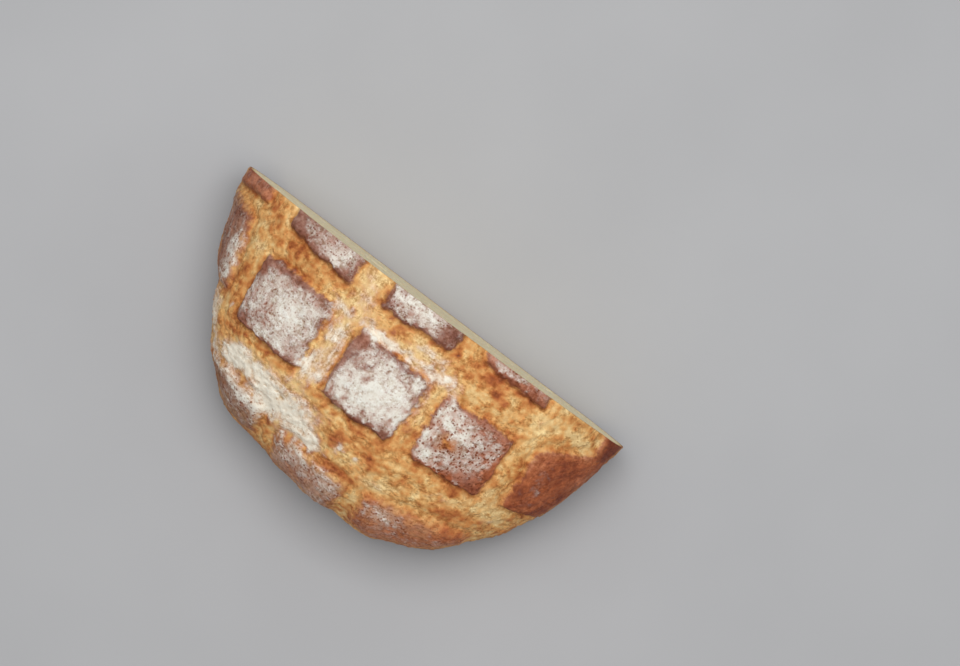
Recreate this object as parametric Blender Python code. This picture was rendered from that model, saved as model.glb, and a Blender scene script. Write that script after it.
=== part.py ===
"""Half of a round hearth loaf, a miche, standing on its flat base.

The cut face looks towards -Y, the length of the cut runs along X, and +Z is up.
The origin is the middle of the bounding box, on the base. The whole half is one solid:
the loaf's body, the raised squares of skin between its slashes, and the cut face
with its larger air holes.
"""

import math
import random

import bmesh
import bpy
from mathutils import Matrix, Vector, noise

MM = 0.001

# The loaf before it was cut, in metres. It spread a little further towards -X.
LOAF_RADIUS = 0.1295
OUTLINE_SHIFT = -0.0022
CROWN_HEIGHT = 0.108
WAIST_HEIGHT = 0.028
UNDERSIDE_DEPTH = 0.045
CROWN_SHIFT = 0.012
SURFACE_UNEVENNESS = 0.0010
UNEVENNESS_SPACING = 0.030

# Where the dough swelled out or was held back: direction in degrees, amount, spread in degrees
OUTLINE_SWELLS = (
    (24, -4.5 * MM, 13),
    (78, -5.2 * MM, 15),
    (124, 5.6 * MM, 20),
)

# The round form starts as a cube with this many panels along each edge
SURFACE_PANELS = 31

# The cut: the knife leaned a little, so the face slopes back over the base
CUT_LEAN = math.radians(2.1)

# The squares of old skin between the slashes
PLATE_RISE = 0.0034
PLATE_RISE_AT_RIM = 0.0006
PLATE_LOWEST = 0.034
PLATE_FULL_RISE = 0.062
PLATE_EDGE_WANDER = 0.0012
PLATE_EDGE_STEPS = 5

# Corners of each square as seen from above, counter-clockwise, in millimetres. The first
# row is crossed by the cut, and the outer squares run out over the side of the loaf.
PLATES = {
    "tip_left": ((105, -9), (150, -9), (150, 8), (104, 10)),
    "a_cut": ((43, -9), (88, -9), (88, 11), (44, 18)),
    "b_cut": ((-23, -9), (22, -9), (21, 17), (-23, 13)),
    "c_cut": ((-81, -9), (-39, -9), (-39, 8), (-81, 10)),
    "tip_right": ((-150, -9), (-116, -9), (-119, 17), (-150, 14)),
    "side_left": ((111, 18), (150, 2), (150, 60), (99, 58)),
    "a_middle": ((43, 32), (87, 31), (81, 69), (39, 72)),
    "b_middle": ((-25, 34), (24, 32), (22, 73), (-23, 75)),
    "c_middle": ((-80, 33), (-34, 36), (-37, 73), (-81, 69)),
    "side_right": ((-150, 18), (-94, 28), (-94, 66), (-150, 70)),
    "a_outer": ((40, 86), (79, 80), (90, 150), (38, 150)),
    "b_outer": ((-22, 107), (24, 106), (25, 150), (-22, 150)),
    "c_outer": ((-88, 91), (-31, 104), (-31, 150), (-100, 150)),
}

# The larger air holes on the cut face: along the cut, height, width, height and depth
# of the hole, all in millimetres, then its turn in degrees
LARGE_HOLES = (
    (41, 55, 25, 10, 9, 8),
    (44, 12, 11, 6, 6, -25),
    (-79, 15, 12, 5, 6, 24),
    (-78, 29, 7, 8, 9, 0),
    (-27, 22, 6, 6, 7, 0),
    (2, 66, 7, 5, 6, 10),
    (61, 38, 9, 7, 4, 0),
    (78, 26, 4, 8, 6, 20),
    (-45, 66, 8, 4, 4, 0),
    (116, 21, 8, 5, 4, -20),
)
SMALL_HOLES = 26
SMALL_HOLE_SIZES = (0.0030, 0.0052)
SMALL_HOLE_GAP = 0.0030
CRUST_MARGIN = 0.0085
SEED = 7

# Edges that bend more than this are drawn sharp
SHARP_ANGLE = math.radians(35)

# Colours in linear light, with roughness
FINISHES = {
    "crust": ((0.47, 0.24, 0.085), 0.62),
    "plates": ((0.36, 0.24, 0.17), 0.80),
    "crumb": ((0.69, 0.61, 0.42), 0.88),
}


def clear_scene():
    """Empty the file of the objects and collections that it opened with."""
    for obj in list(bpy.data.objects):
        bpy.data.objects.remove(obj)
    for old in list(bpy.data.collections):
        bpy.data.collections.remove(old)


def new_collection(name):
    made = bpy.data.collections.new(name)
    bpy.context.scene.collection.children.link(made)
    return made


def finish(name):
    """A plain material from the table of colours."""
    colour, roughness = FINISHES[name]
    material = bpy.data.materials.new(name)
    material.use_nodes = True
    shader = material.node_tree.nodes["Principled BSDF"]
    shader.inputs["Base Color"].default_value = (*colour, 1.0)
    shader.inputs["Roughness"].default_value = roughness
    shader.inputs["Metallic"].default_value = 0.0
    return material


def piece_from(bm, name, collection, parent, material):
    """An object made from a bmesh, which is freed."""
    mesh = bpy.data.meshes.new(name)
    bmesh.ops.recalc_face_normals(bm, faces=bm.faces)
    bm.to_mesh(mesh)
    bm.free()
    mesh.materials.append(material)
    made = bpy.data.objects.new(name, mesh)
    collection.objects.link(made)
    made.parent = parent
    return made


def helper_from(bm, name, collection, parent, material):
    """An object that only shapes another one."""
    made = piece_from(bm, name, collection, parent, material)
    made.hide_render = True
    made.display_type = "WIRE"
    return made


def smooth_step(low, high, value):
    share = min(1.0, max(0.0, (value - low) / (high - low)))
    return share * share * (3.0 - 2.0 * share)


def outline_radius(angle):
    """Distance from the axis to the widest outline, in the direction of angle."""
    radius = LOAF_RADIUS + OUTLINE_SHIFT * math.cos(angle)
    for degrees, amount, spread in OUTLINE_SWELLS:
        away = (math.degrees(angle) - degrees) / spread
        radius += amount * math.exp(-away * away)
    return radius


def loaf_point(direction):
    """Where a direction from the waist's middle meets the loaf's surface."""
    angle = math.atan2(direction.y, direction.x)
    reach = math.hypot(direction.x, direction.y)
    rise = CROWN_HEIGHT - WAIST_HEIGHT if direction.z > 0 else UNDERSIDE_DEPTH
    radius = outline_radius(angle) * reach
    shift = CROWN_SHIFT * (1.0 - reach) * (direction.z > 0)
    return Vector(
        (
            radius * math.cos(angle) + shift,
            radius * math.sin(angle),
            WAIST_HEIGHT + rise * direction.z,
        )
    )


def plate_rise(height):
    """How far the skin stands out from the slashed surface at this height."""
    share = smooth_step(PLATE_LOWEST, PLATE_FULL_RISE, height)
    return PLATE_RISE_AT_RIM + (PLATE_RISE - PLATE_RISE_AT_RIM) * share


def loaf_bmesh(with_plates):
    """The whole loaf as a closed form with a flat base, or the same form at the skin's level."""
    bm = bmesh.new()
    bmesh.ops.create_cube(bm, size=2.0)
    bmesh.ops.subdivide_edges(bm, edges=bm.edges, cuts=SURFACE_PANELS - 1, use_grid_fill=True)
    for vertex in bm.verts:
        even = Vector([math.tan(side * math.pi / 4) for side in vertex.co])
        vertex.co = loaf_point(even.normalized())
    bmesh.ops.recalc_face_normals(bm, faces=bm.faces)
    bm.normal_update()
    for vertex in bm.verts:
        bump = SURFACE_UNEVENNESS * noise.noise(vertex.co / UNEVENNESS_SPACING)
        if with_plates:
            bump += plate_rise(vertex.co.z)
        vertex.co += vertex.normal * bump
    base = bmesh.ops.bisect_plane(
        bm,
        geom=list(bm.verts) + list(bm.edges) + list(bm.faces),
        plane_co=(0, 0, 0),
        plane_no=(0, 0, -1),
        clear_outer=True,
    )
    rim = [piece for piece in base["geom_cut"] if isinstance(piece, bmesh.types.BMEdge)]
    bmesh.ops.holes_fill(bm, edges=rim, sides=0)
    return bm


def plate_bmesh(corners):
    """An upright block whose outline is a square of skin with a slightly ragged edge."""
    bm = bmesh.new()
    side = PLATE_EDGE_STEPS
    bmesh.ops.create_grid(bm, x_segments=side, y_segments=side, size=0.5)
    low_left, low_right, high_right, high_left = (Vector(corner) * MM for corner in corners)
    for vertex in bm.verts:
        across, along = vertex.co.x + 0.5, vertex.co.y + 0.5
        near = low_left.lerp(low_right, across)
        far = high_left.lerp(high_right, across)
        place = near.lerp(far, along)
        wander = noise.noise_vector(Vector((place.x, place.y, 0)) / (8 * MM))
        place += Vector((wander.x, wander.y)) * PLATE_EDGE_WANDER
        vertex.co = (place.x, place.y, PLATE_LOWEST)
    top = bmesh.ops.extrude_face_region(bm, geom=list(bm.faces))
    raised = [piece for piece in top["geom"] if isinstance(piece, bmesh.types.BMVert)]
    bmesh.ops.translate(bm, verts=raised, vec=(0, 0, CROWN_HEIGHT))
    return bm


def cut_plane_matrix():
    """Local X along the cut, local Y up the face, local Z into the loaf."""
    lean = Matrix.Rotation(-CUT_LEAN, 4, "X")
    upright = Matrix.Rotation(math.radians(90), 4, "X") @ Matrix.Scale(-1, 4, (0, 0, 1))
    return Matrix.Translation((0, 0, WAIST_HEIGHT)) @ lean @ upright


def hole_bmesh(place, size, turn, detail):
    """An egg-shaped hollow on the cut plane."""
    bm = bmesh.new()
    shape = (
        cut_plane_matrix()
        @ Matrix.Translation((place[0], place[1] - WAIST_HEIGHT, 0))
        @ Matrix.Rotation(turn, 4, "Z")
        @ Matrix.Diagonal((size[0] / 2, size[1] / 2, size[2] / 2, 1))
    )
    bmesh.ops.create_icosphere(bm, subdivisions=detail, radius=1.0, matrix=shape)
    return bm


def face_top(along):
    """Height of the cut face's upper edge at a place along the cut."""
    side = 1 if along > CROWN_SHIFT else -1
    reach = LOAF_RADIUS + side * (OUTLINE_SHIFT - CROWN_SHIFT)
    share = min(1.0, abs(along - CROWN_SHIFT) / reach)
    return WAIST_HEIGHT + (CROWN_HEIGHT - WAIST_HEIGHT) * math.sqrt(1.0 - share * share)


def hole_list():
    """Every hollow on the cut face: the large ones as seen, then small ones that keep clear."""
    holes = []
    for along, height, width, tall, deep, turn in LARGE_HOLES:
        size = (width * MM, tall * MM, deep * MM)
        holes.append(((along * MM, height * MM), size, math.radians(turn), 2))
    draw = random.Random(SEED)
    wanted = len(holes) + SMALL_HOLES
    while len(holes) < wanted:
        along = draw.uniform(-LOAF_RADIUS, LOAF_RADIUS) * 0.9
        height = draw.uniform(CRUST_MARGIN, CROWN_HEIGHT)
        wide = draw.uniform(*SMALL_HOLE_SIZES)
        if height > face_top(along) - CRUST_MARGIN:
            continue
        room = [
            math.hypot(along - place[0], height - place[1]) - (max(size) + wide) / 2
            for place, size, _, _ in holes
        ]
        if min(room) < SMALL_HOLE_GAP:
            continue
        size = (wide, wide * draw.uniform(0.6, 1.0), wide)
        holes.append(((along, height), size, draw.uniform(0, math.pi), 1))
    return holes


def merged(meshes):
    """One bmesh that holds several, which are freed."""
    whole = bmesh.new()
    for bm in meshes:
        one = bpy.data.meshes.new("one")
        bm.to_mesh(one)
        bm.free()
        whole.from_mesh(one)
        bpy.data.meshes.remove(one)
    return whole


def boolean(obj, other, operation):
    modifier = obj.modifiers.new(other.name, "BOOLEAN")
    modifier.operation = operation
    modifier.object = other
    modifier.solver = "EXACT"
    modifier.material_mode = "TRANSFER"
    return modifier


def knife_bmesh():
    """Everything in front of the cut plane."""
    bm = bmesh.new()
    reach = 4 * LOAF_RADIUS
    away = Matrix.Translation((0, 0, -reach / 2))
    bmesh.ops.create_cube(bm, size=reach, matrix=cut_plane_matrix() @ away)
    return bm


def centre_on_base(frame, half):
    """Move the frame so that the origin is under the middle of the half's bounding box."""
    bpy.context.view_layer.update()
    seen = half.evaluated_get(bpy.context.evaluated_depsgraph_get())
    corners = [seen.matrix_world @ Vector(corner) for corner in seen.bound_box]
    middle = (Vector(map(min, *corners)) + Vector(map(max, *corners))) / 2
    frame.location = (-middle.x, -middle.y, 0)


def build_half_loaf():
    clear_scene()
    parts = new_collection("miche")
    cutters = new_collection("cutters")
    frame = bpy.data.objects.new("frame", None)
    parts.objects.link(frame)
    crust, skin, crumb = (finish(name) for name in FINISHES)

    half = piece_from(loaf_bmesh(False), "miche_half", parts, frame, crust)
    skin_level = helper_from(loaf_bmesh(True), "skin_level", cutters, frame, skin)
    blocks = merged(plate_bmesh(corners) for corners in PLATES.values())
    plates = helper_from(blocks, "skin_plates", cutters, frame, skin)
    knife = helper_from(knife_bmesh(), "knife", cutters, frame, crumb)
    hollows = merged(hole_bmesh(*hole) for hole in hole_list())
    holes = helper_from(hollows, "air_holes", cutters, frame, crumb)

    boolean(plates, skin_level, "INTERSECT")
    boolean(half, plates, "UNION")
    boolean(half, knife, "DIFFERENCE")
    boolean(half, holes, "DIFFERENCE")

    centre_on_base(frame, half)
    half.data.shade_smooth()
    half.data.set_sharp_from_angle(angle=SHARP_ANGLE)


build_half_loaf()
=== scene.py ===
# %% [markdown]
# Half of a miche
#
# This lesson dresses the plain solid of half a hearth loaf until it looks baked: a thin crust with
# raised, floured squares between torn slashes, and a crumb full of holes on the cut face. The
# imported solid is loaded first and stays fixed, so every new piece is made in its frame: metres,
# +Z up, the cut face towards -Y and the origin on the base.

import math
import random

import bmesh
import bpy
import numpy as np
from mathutils import Matrix, Vector, kdtree, noise


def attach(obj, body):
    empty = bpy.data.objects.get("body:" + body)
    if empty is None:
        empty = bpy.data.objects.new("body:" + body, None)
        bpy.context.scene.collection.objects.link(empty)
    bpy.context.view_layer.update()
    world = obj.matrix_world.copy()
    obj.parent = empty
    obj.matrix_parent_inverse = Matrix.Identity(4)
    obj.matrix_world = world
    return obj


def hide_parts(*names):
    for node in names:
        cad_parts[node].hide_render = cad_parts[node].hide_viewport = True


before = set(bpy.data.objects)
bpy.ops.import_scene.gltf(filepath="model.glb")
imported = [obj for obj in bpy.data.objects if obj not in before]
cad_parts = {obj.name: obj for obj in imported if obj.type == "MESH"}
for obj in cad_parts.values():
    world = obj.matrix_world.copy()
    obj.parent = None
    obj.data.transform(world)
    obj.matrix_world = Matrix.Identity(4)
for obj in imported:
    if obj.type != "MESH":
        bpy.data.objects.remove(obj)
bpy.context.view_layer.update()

# %% [markdown]
# The camera
#
# Lengths on the loaf are written in millimetres, measured from the upright axis of the whole loaf,
# because that is how a baker would describe it. `AXIS` says where this axis stands in the frame.
# The camera looks straight down from two metres with a long lens, which is how such a picture is
# taken on a table: from so far away the domed top hardly bulges towards the lens.

# %% Camera
MM = 0.001
AXIS = Vector((0.0020839, -0.0640188, 0.0))
CAMERA_PLACE = Vector((-0.02943, -0.00273, 2.0))
CAMERA_TURN = math.radians(-143)
LENS = 133
SENSOR_WIDTH = 36


def placed(name, data):
    """A new object in the scene."""
    made = bpy.data.objects.new(name, data)
    bpy.context.scene.collection.objects.link(made)
    return made


def mesh_from(bm, name):
    """A mesh of what the bmesh holds."""
    mesh = bpy.data.meshes.new(name)
    bm.to_mesh(mesh)
    bm.free()
    return mesh


camera_data = bpy.data.cameras.new("camera")
camera_data.lens = LENS
camera_data.sensor_width = SENSOR_WIDTH
camera = placed("camera", camera_data)
camera.location = AXIS + CAMERA_PLACE
camera.rotation_euler = (0, 0, CAMERA_TURN)
bpy.context.scene.camera = camera
bpy.context.scene.view_settings.view_transform = "Standard"
print("camera height, m:", camera.location.z)

# %% [markdown]
# Helpers for materials
#
# A material is a small graph of nodes. These helpers keep each graph short: one adds a node and
# fills its sockets, either with a value or with a link from another node, and the others wrap the
# few nodes that come up again and again. They all work on `tree`, the graph of the material in
# hand. Colours are written as they look on a screen, and `paint` turns them into linear light.


# %% Material helpers
def paint(red, green, blue, light=0.9):
    """The paint that shows as this screen colour where the light has this strength."""
    linear = []
    for byte in (red, green, blue):
        value = byte / 255
        value = value / 12.92 if value <= 0.04045 else ((value + 0.055) / 1.055) ** 2.4
        linear.append(min(0.95, value / light))
    return (*linear, 1.0)


def new_material(name):
    """A material with its node tree and its main shader."""
    material = bpy.data.materials.new(name)
    material.use_nodes = True
    tree = material.node_tree
    return material, tree, tree.nodes["Principled BSDF"]


def add(kind, inputs=None, **settings):
    """A node whose settings and sockets are filled in."""
    made = tree.nodes.new(kind)
    for name, value in settings.items():
        setattr(made, name, value)
    for socket, value in (inputs or {}).items():
        if isinstance(value, bpy.types.NodeSocket):
            tree.links.new(value, made.inputs[socket])
        else:
            made.inputs[socket].default_value = value
    return made


def calc(operation, *values):
    """One step of arithmetic."""
    return add("ShaderNodeMath", dict(enumerate(values)), operation=operation).outputs[0]


def times(first, second):
    return calc("MULTIPLY", first, second)


def plus(total, *shares):
    """A value plus others, each times its weight."""
    for value, weight in shares:
        total = calc("MULTIPLY_ADD", value, weight, total)
    return total


def clamped(value):
    """A value held between 0 and 1."""
    return add("ShaderNodeClamp", {"Value": value}).outputs[0]


def weigh(value, low, high, to_low=0.0, to_high=1.0):
    """A soft step: to_low where the value is below low, to_high where it is above high."""
    sockets = {"Value": value, "From Min": low, "From Max": high, "To Min": to_low, "To Max": to_high}
    return add("ShaderNodeMapRange", sockets, interpolation_type="SMOOTHSTEP").outputs[0]


def blend(share, under, over):
    """Over laid on under, as much as share says."""
    sockets = {0: share, 6: under, 7: over}
    return add("ShaderNodeMix", sockets, data_type="RGBA").outputs[2]


def ramp(value, stops):
    """A run of colours along a value from 0 to 1."""
    made = add("ShaderNodeValToRGB", {"Fac": value})
    elements = made.color_ramp.elements
    while len(elements) < len(stops):
        elements.new(0.5)
    for element, (place, colour) in zip(elements, stops):
        element.position = place
        element.color = colour
    return made.outputs["Color"]


# %% Helpers for textures and sockets
def attribute(name):
    """A value that is stored at the points of the mesh."""
    return add("ShaderNodeAttribute", attribute_name=name).outputs["Fac"]


def object_place():
    """Coordinates that stay with the object."""
    return add("ShaderNodeTexCoord").outputs["Object"]


def grain(spacing, detail=2.0, roughness=0.5):
    """Fine noise from 0 to 1, with its spacing in millimetres."""
    sockets = {"Vector": object_place(), "Scale": 1 / (spacing * MM)}
    sockets.update({"Detail": detail, "Roughness": roughness})
    return add("ShaderNodeTexNoise", sockets).outputs["Fac"]


def shaken(value):
    """Noise that lies around 0, so it can shake another value both ways."""
    return calc("SUBTRACT", value, 0.5)


def fill(shader, **values):
    """Sets sockets of a shader node. An underscore stands for the space in a name."""
    for name, value in values.items():
        shader.inputs[name.replace("_", " ")].default_value = value


# %% [markdown]
# Table and light
#
# The loaf lies on a plain pale grey table under one very large soft lamp, with even light from all
# round. A large lamp gives a wide, soft shadow. It hangs a little towards the cut side, so the
# shadow falls towards the rounded side of the half.

# %% Table
TABLE_RADIUS = 9.0
TABLE_MOTTLE = (160, 3.0)
TABLE_SHADES = ((0.3, (0.474, 0.477, 0.488, 1)), (0.7, (0.504, 0.507, 0.518, 1)))

bm = bmesh.new()
bmesh.ops.create_circle(bm, cap_ends=True, radius=TABLE_RADIUS, segments=64)
table = placed("table", mesh_from(bm, "table"))

table_finish, tree, shader = new_material("table_grey")
tree.links.new(ramp(grain(*TABLE_MOTTLE), TABLE_SHADES), shader.inputs["Base Color"])
fill(shader, Roughness=0.9, Specular_IOR_Level=0.2)
table.data.materials.append(table_finish)
print("table, m across:", 2 * TABLE_RADIUS)

# %% Light
LAMP_SIZE = 0.9
LAMP_DISTANCE = 1.25
LAMP_TILT = math.radians(11)
LAMP_DIRECTION = math.radians(-80)
LAMP_POWER = 9.6
ROUND_LIGHT = 0.41

lamp_data = bpy.data.lights.new("soft_lamp", "AREA")
lamp_data.shape = "SQUARE"
lamp_data.size = LAMP_SIZE
lamp_data.energy = LAMP_POWER
lamp = placed("soft_lamp", lamp_data)
away = Vector((math.cos(LAMP_DIRECTION), math.sin(LAMP_DIRECTION), 0)) * math.sin(LAMP_TILT)
away.z = math.cos(LAMP_TILT)
lamp.location = away * LAMP_DISTANCE
lamp.rotation_euler = away.to_track_quat("Z", "Y").to_euler()
lamp.visible_camera = False

world = bpy.data.worlds.new("round_light")
world.use_nodes = True
fill(world.node_tree.nodes["Background"], Color=(1, 1, 1, 1), Strength=ROUND_LIGHT)
bpy.context.scene.world = world
print("lamp at, m:", [round(side, 2) for side in lamp.location])

# %% [markdown]
# The loaf's round form
#
# Dough that is set down on a hot stone spreads into a flat dome: its widest line is low, and
# below it the side turns in to a smaller base. The form is two half ellipsoids that meet at the
# widest line, with a few swells where the dough ran out or was held back. A formula is the right
# tool, because the same one gives the solid, the crust's outside and its inside.

# %% Form of the loaf
LOAF_RADIUS = 129.5
OUTLINE_SHIFT = -2.2
OUTLINE_SWELLS = ((24, -4.5, 13), (78, -5.2, 15), (124, 5.6, 20))
CROWN_HEIGHT = 108.0
CROWN_SHIFT = 12.0
WAIST_HEIGHT = 28.0
UNDERSIDE_DEPTH = 45.0
UNEVENNESS = 1.0
UNEVENNESS_SPACING = 30.0


def soft_step(low, high, value):
    share = np.clip((value - low) / (high - low), 0.0, 1.0)
    return share * share * (3.0 - 2.0 * share)


def bell(value, middle, width):
    """1 at the middle, falling away smoothly on both sides."""
    return np.exp(-(((value - middle) / width) ** 2))


def hills(places, spacing, seed=0.0):
    """Smooth noise from about -1 to 1 at each place, with hills about `spacing` apart."""
    scaled = places / spacing + seed
    return np.array([noise.noise(place) for place in scaled.tolist()])


def outline_radius(angle):
    """Distance from the axis to the widest line, in the direction of angle."""
    radius = LOAF_RADIUS + OUTLINE_SHIFT * np.cos(angle)
    for degrees, amount, spread in OUTLINE_SWELLS:
        radius = radius + amount * bell(np.degrees(angle), degrees, spread)
    return radius


def loaf_points(directions):
    """Where directions from the waist's middle meet the loaf's surface."""
    angle = np.arctan2(directions[:, 1], directions[:, 0])
    reach = np.hypot(directions[:, 0], directions[:, 1])
    above = directions[:, 2] > 0
    radius = outline_radius(angle) * reach
    shift = CROWN_SHIFT * (1.0 - reach) * above
    rise = np.where(above, CROWN_HEIGHT - WAIST_HEIGHT, UNDERSIDE_DEPTH)
    height = WAIST_HEIGHT + rise * directions[:, 2]
    return np.column_stack((radius * np.cos(angle) + shift, radius * np.sin(angle), height))


# %% [markdown]
# Panels for the dome
#
# A globe of latitude and longitude lines would crowd its panels at the crown, right where the
# slashes are. A box that is blown up into a dome keeps them nearly even. The box is open below,
# its sides reach down to the base, and only the half behind the cut is kept.

# %% Panels
SPARE_BELOW = 2.0
SPARE_BEFORE_CUT = 0.06
BASE_TURN = -math.asin((WAIST_HEIGHT + SPARE_BELOW) / UNDERSIDE_DEPTH)
ROW_CROWDING = 0.8


def slice_off(bm, place, direction):
    """Cuts away all that lies behind a plane."""
    everything = list(bm.verts) + list(bm.edges) + list(bm.faces)
    bmesh.ops.bisect_plane(bm, geom=everything, plane_co=place, plane_no=direction, clear_inner=True)


def box_of_panels(across, upright):
    """The back half of an open box, with this many panels across its top and up its sides."""
    bm = bmesh.new()
    bmesh.ops.create_cube(bm, size=2.0)
    under = [face for face in bm.faces if all(vertex.co.z < 0 for vertex in face.verts)]
    bmesh.ops.delete(bm, geom=under, context="FACES")
    standing = [edge for edge in bm.edges if edge.verts[0].co.z != edge.verts[1].co.z]
    bmesh.ops.subdivide_edges(bm, edges=standing, cuts=upright - 1, use_grid_fill=True)
    level = [edge for edge in bm.edges if abs(edge.verts[0].co.z - edge.verts[1].co.z) < 1e-6]
    bmesh.ops.subdivide_edges(bm, edges=level, cuts=across - 1, use_grid_fill=True)
    slice_off(bm, (0, -SPARE_BEFORE_CUT, 0), (0, 1, 0))
    return bm


def dome_directions(box):
    """Turns places on the box into directions: its sides run from the top's edge to the base."""
    flat = np.tan(box[:, :2] * math.pi / 4)
    angle = np.arctan2(flat[:, 1], flat[:, 0])
    highest = np.arctan2(1.0, np.hypot(flat[:, 0], flat[:, 1]))
    share = np.clip((box[:, 2] + 1) / 2, 0.0, 1.0) ** ROW_CROWDING
    lift = BASE_TURN + (highest - BASE_TURN) * share
    return np.column_stack((np.cos(angle) * np.cos(lift), np.sin(angle) * np.cos(lift), np.sin(lift)))


# %% [markdown]
# The squares of skin
#
# Before baking, the top is slashed crosswise. The slashes tear open in the oven and bare new
# golden crust, while the old, floured skin between them stays as raised squares. Each square is
# given by its four corners as seen from above. The distance from a point to the nearest slash
# edge, measured along the sloping surface, then shapes everything: walls, lips, streaks, colours.

# %% Squares of skin
SQUARES = {
    "tip_left": ((105, -9), (150, -9), (150, 8), (104, 10)),
    "a_cut": ((41.5, -9), (87, -9), (87, 12.5), (41.5, 19)),
    "b_cut": ((-24, -9), (22.5, -9), (21.5, 18), (-24, 14.5)),
    "c_cut": ((-81, -9), (-39, -9), (-39, 8), (-81, 10)),
    "tip_right": ((-150, -9), (-116, -9), (-119, 17), (-150, 14)),
    "side_left": ((106, 20), (150, 3), (150, 62), (95, 60)),
    "a_middle": ((41, 32), (87, 31), (81, 69), (38, 72)),
    "b_middle": ((-25, 35), (22.5, 32), (21, 73.5), (-24, 74)),
    "c_middle": ((-79, 32), (-35, 35), (-37.5, 73), (-80, 69)),
    "side_right": ((-150, -4), (-94, 28), (-94, 65), (-150, 53)),
    "a_outer": ((38, 99), (82, 93), (96, 150), (37, 150)),
    "b_outer": ((-22, 105), (24, 104), (25, 150), (-22, 150)),
    "c_outer": ((-90, 90), (-31, 103), (-33, 126), (-66, 121), (-97, 101)),
}
CORNER_ROUNDING = 3.0
STEEPEST = 0.3
print("squares of skin:", len(SQUARES))


def distance_to_slash(plan, normals):
    """Distance along the surface to the nearest slash edge, positive on skin, with the number of
    its square and how much its wall faces the rounded side of the half, away from the lamp."""
    slope = -normals[:, :2] / np.maximum(normals[:, 2:], STEEPEST)
    best = np.full(len(plan), -1e3)
    square = np.zeros(len(plan), dtype=int)
    facing = np.zeros(len(plan))
    for number, corners in enumerate(SQUARES.values()):
        corners = np.array(corners, dtype=float)
        nearest = np.full(len(plan), 1e3)
        outside = np.zeros(len(plan))
        faces = np.zeros(len(plan))
        for start, end in zip(corners, np.roll(corners, -1, axis=0)):
            along = (end - start) / np.hypot(*(end - start))
            inward = np.array((-along[1], along[0]))
            depth = (plan - start) @ inward * np.sqrt(1.0 + (slope @ inward) ** 2)
            faces = np.where(depth < nearest, -inward[1], faces)
            nearest = np.minimum(nearest, depth)
            outside += np.maximum(CORNER_ROUNDING - depth, 0.0) ** 2
        distance = np.where(outside > 0, CORNER_ROUNDING - np.sqrt(outside), nearest)
        square = np.where(distance > best, number, square)
        facing = np.where(distance > best, faces, facing)
        best = np.maximum(best, distance)
    return best, square, facing


# %% [markdown]
# Finish of each square, and spots one by one
#
# Every square of skin baked in its own way: one is thick with flour, one is red, one is soft and
# fades into the rim. A small table says so for each. Inside the squares and in the slashes, flour
# and colour don't follow a rule, so the main spots are given one by one, as a food stylist would
# place them with a brush. Each spot is soft and oval: its place, its half sizes, its strength in
# percent, negative where it takes away, and its turn in degrees where it has one. Two short tables
# go further: one bares the golden crust under the skin, the other raises smooth bubbles.

# %% Finish of each square
# Each square's flour, redness, extra depth of brown, share of old skin, dark specks and softness
SQUARE_FINISHES = {
    "tip_left": (0.06, 0.70, -0.05, 1.0, 0.3, 0.2),
    "a_cut": (0.30, 0.14, 0.12, 1.0, 0.6, 0.0),
    "b_cut": (0.36, 0.10, 0.12, 1.0, 0.5, 0.0),
    "c_cut": (0.28, 0.60, 0.02, 1.0, 0.5, 0.0),
    "tip_right": (-0.30, 1.00, 0.50, 1.0, 0.2, 0.2),
    "side_left": (0.26, 0.15, 0.20, 0.9, 0.7, 0.6),
    "a_middle": (0.46, 0.12, 0.06, 1.0, 0.45, 0.0),
    "b_middle": (0.38, 0.12, 0.10, 1.0, 0.40, 0.0),
    "c_middle": (0.40, 0.55, 0.06, 1.0, 1.0, 0.0),
    "side_right": (-0.20, 1.00, 0.10, 1.0, 0.3, 0.2),
    "a_outer": (0.18, 0.06, 0.42, 0.75, 0.8, 0.9),
    "b_outer": (0.42, 0.20, 0.00, 0.75, 0.7, 0.9),
    "c_outer": (0.18, 0.70, -0.04, 0.65, 0.7, 1.0),
}
FINISH_NAMES = ("flour", "red", "brown", "old", "specks", "softness")

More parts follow.
